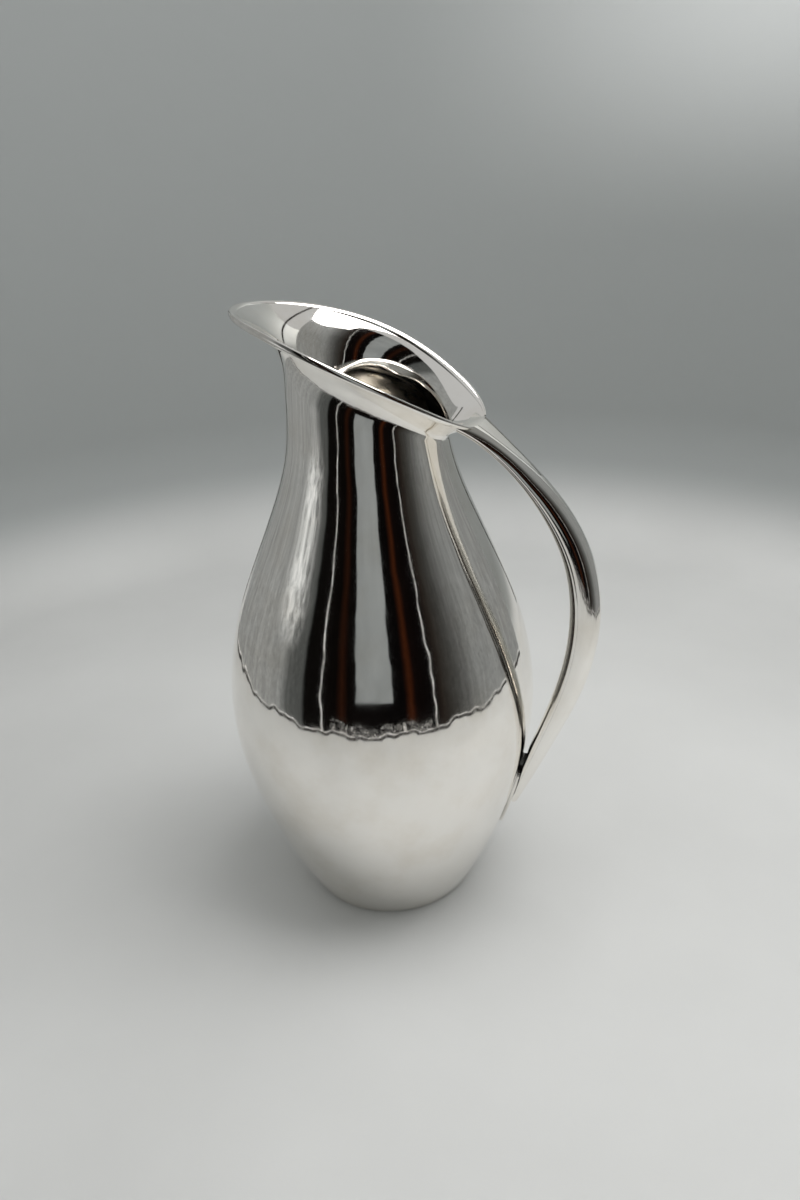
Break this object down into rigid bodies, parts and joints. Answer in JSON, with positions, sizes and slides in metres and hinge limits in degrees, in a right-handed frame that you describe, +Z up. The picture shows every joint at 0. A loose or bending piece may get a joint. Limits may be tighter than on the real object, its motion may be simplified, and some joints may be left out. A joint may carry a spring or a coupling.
{
  "type": "water pitcher",
  "caption": "Polished silver water pitcher with a pear-shaped body, a flared mouth that slopes up to the spout, and a loop handle that flows from the lip to the lower body",
  "frame": {"origin": "centre of the foot, on the plane that the pitcher rests on", "axes": "+Z up, spout towards -X, handle towards +X, symmetric about Y = 0"},
  "size_m": [0.1408, 0.1168, 0.2294],
  "materials": {
    "silver_body": "mirror-polished sterling silver with fine hairlines",
    "silver_handle": "mirror-polished sterling silver with fine hairlines",
    "silver_base": "planished sterling silver, duller than the outside"
  },
  "bodies": {
    "root": {"lower_body": "silver_body", "upper_body": "silver_body", "base_disc": "silver_base", "rim_wire": "silver_body", "handle_back": "silver_handle", "handle_front": "silver_handle", "handle_strap": "silver_handle", "handle_drop": "silver_handle"}
  },
  "joints": []
}
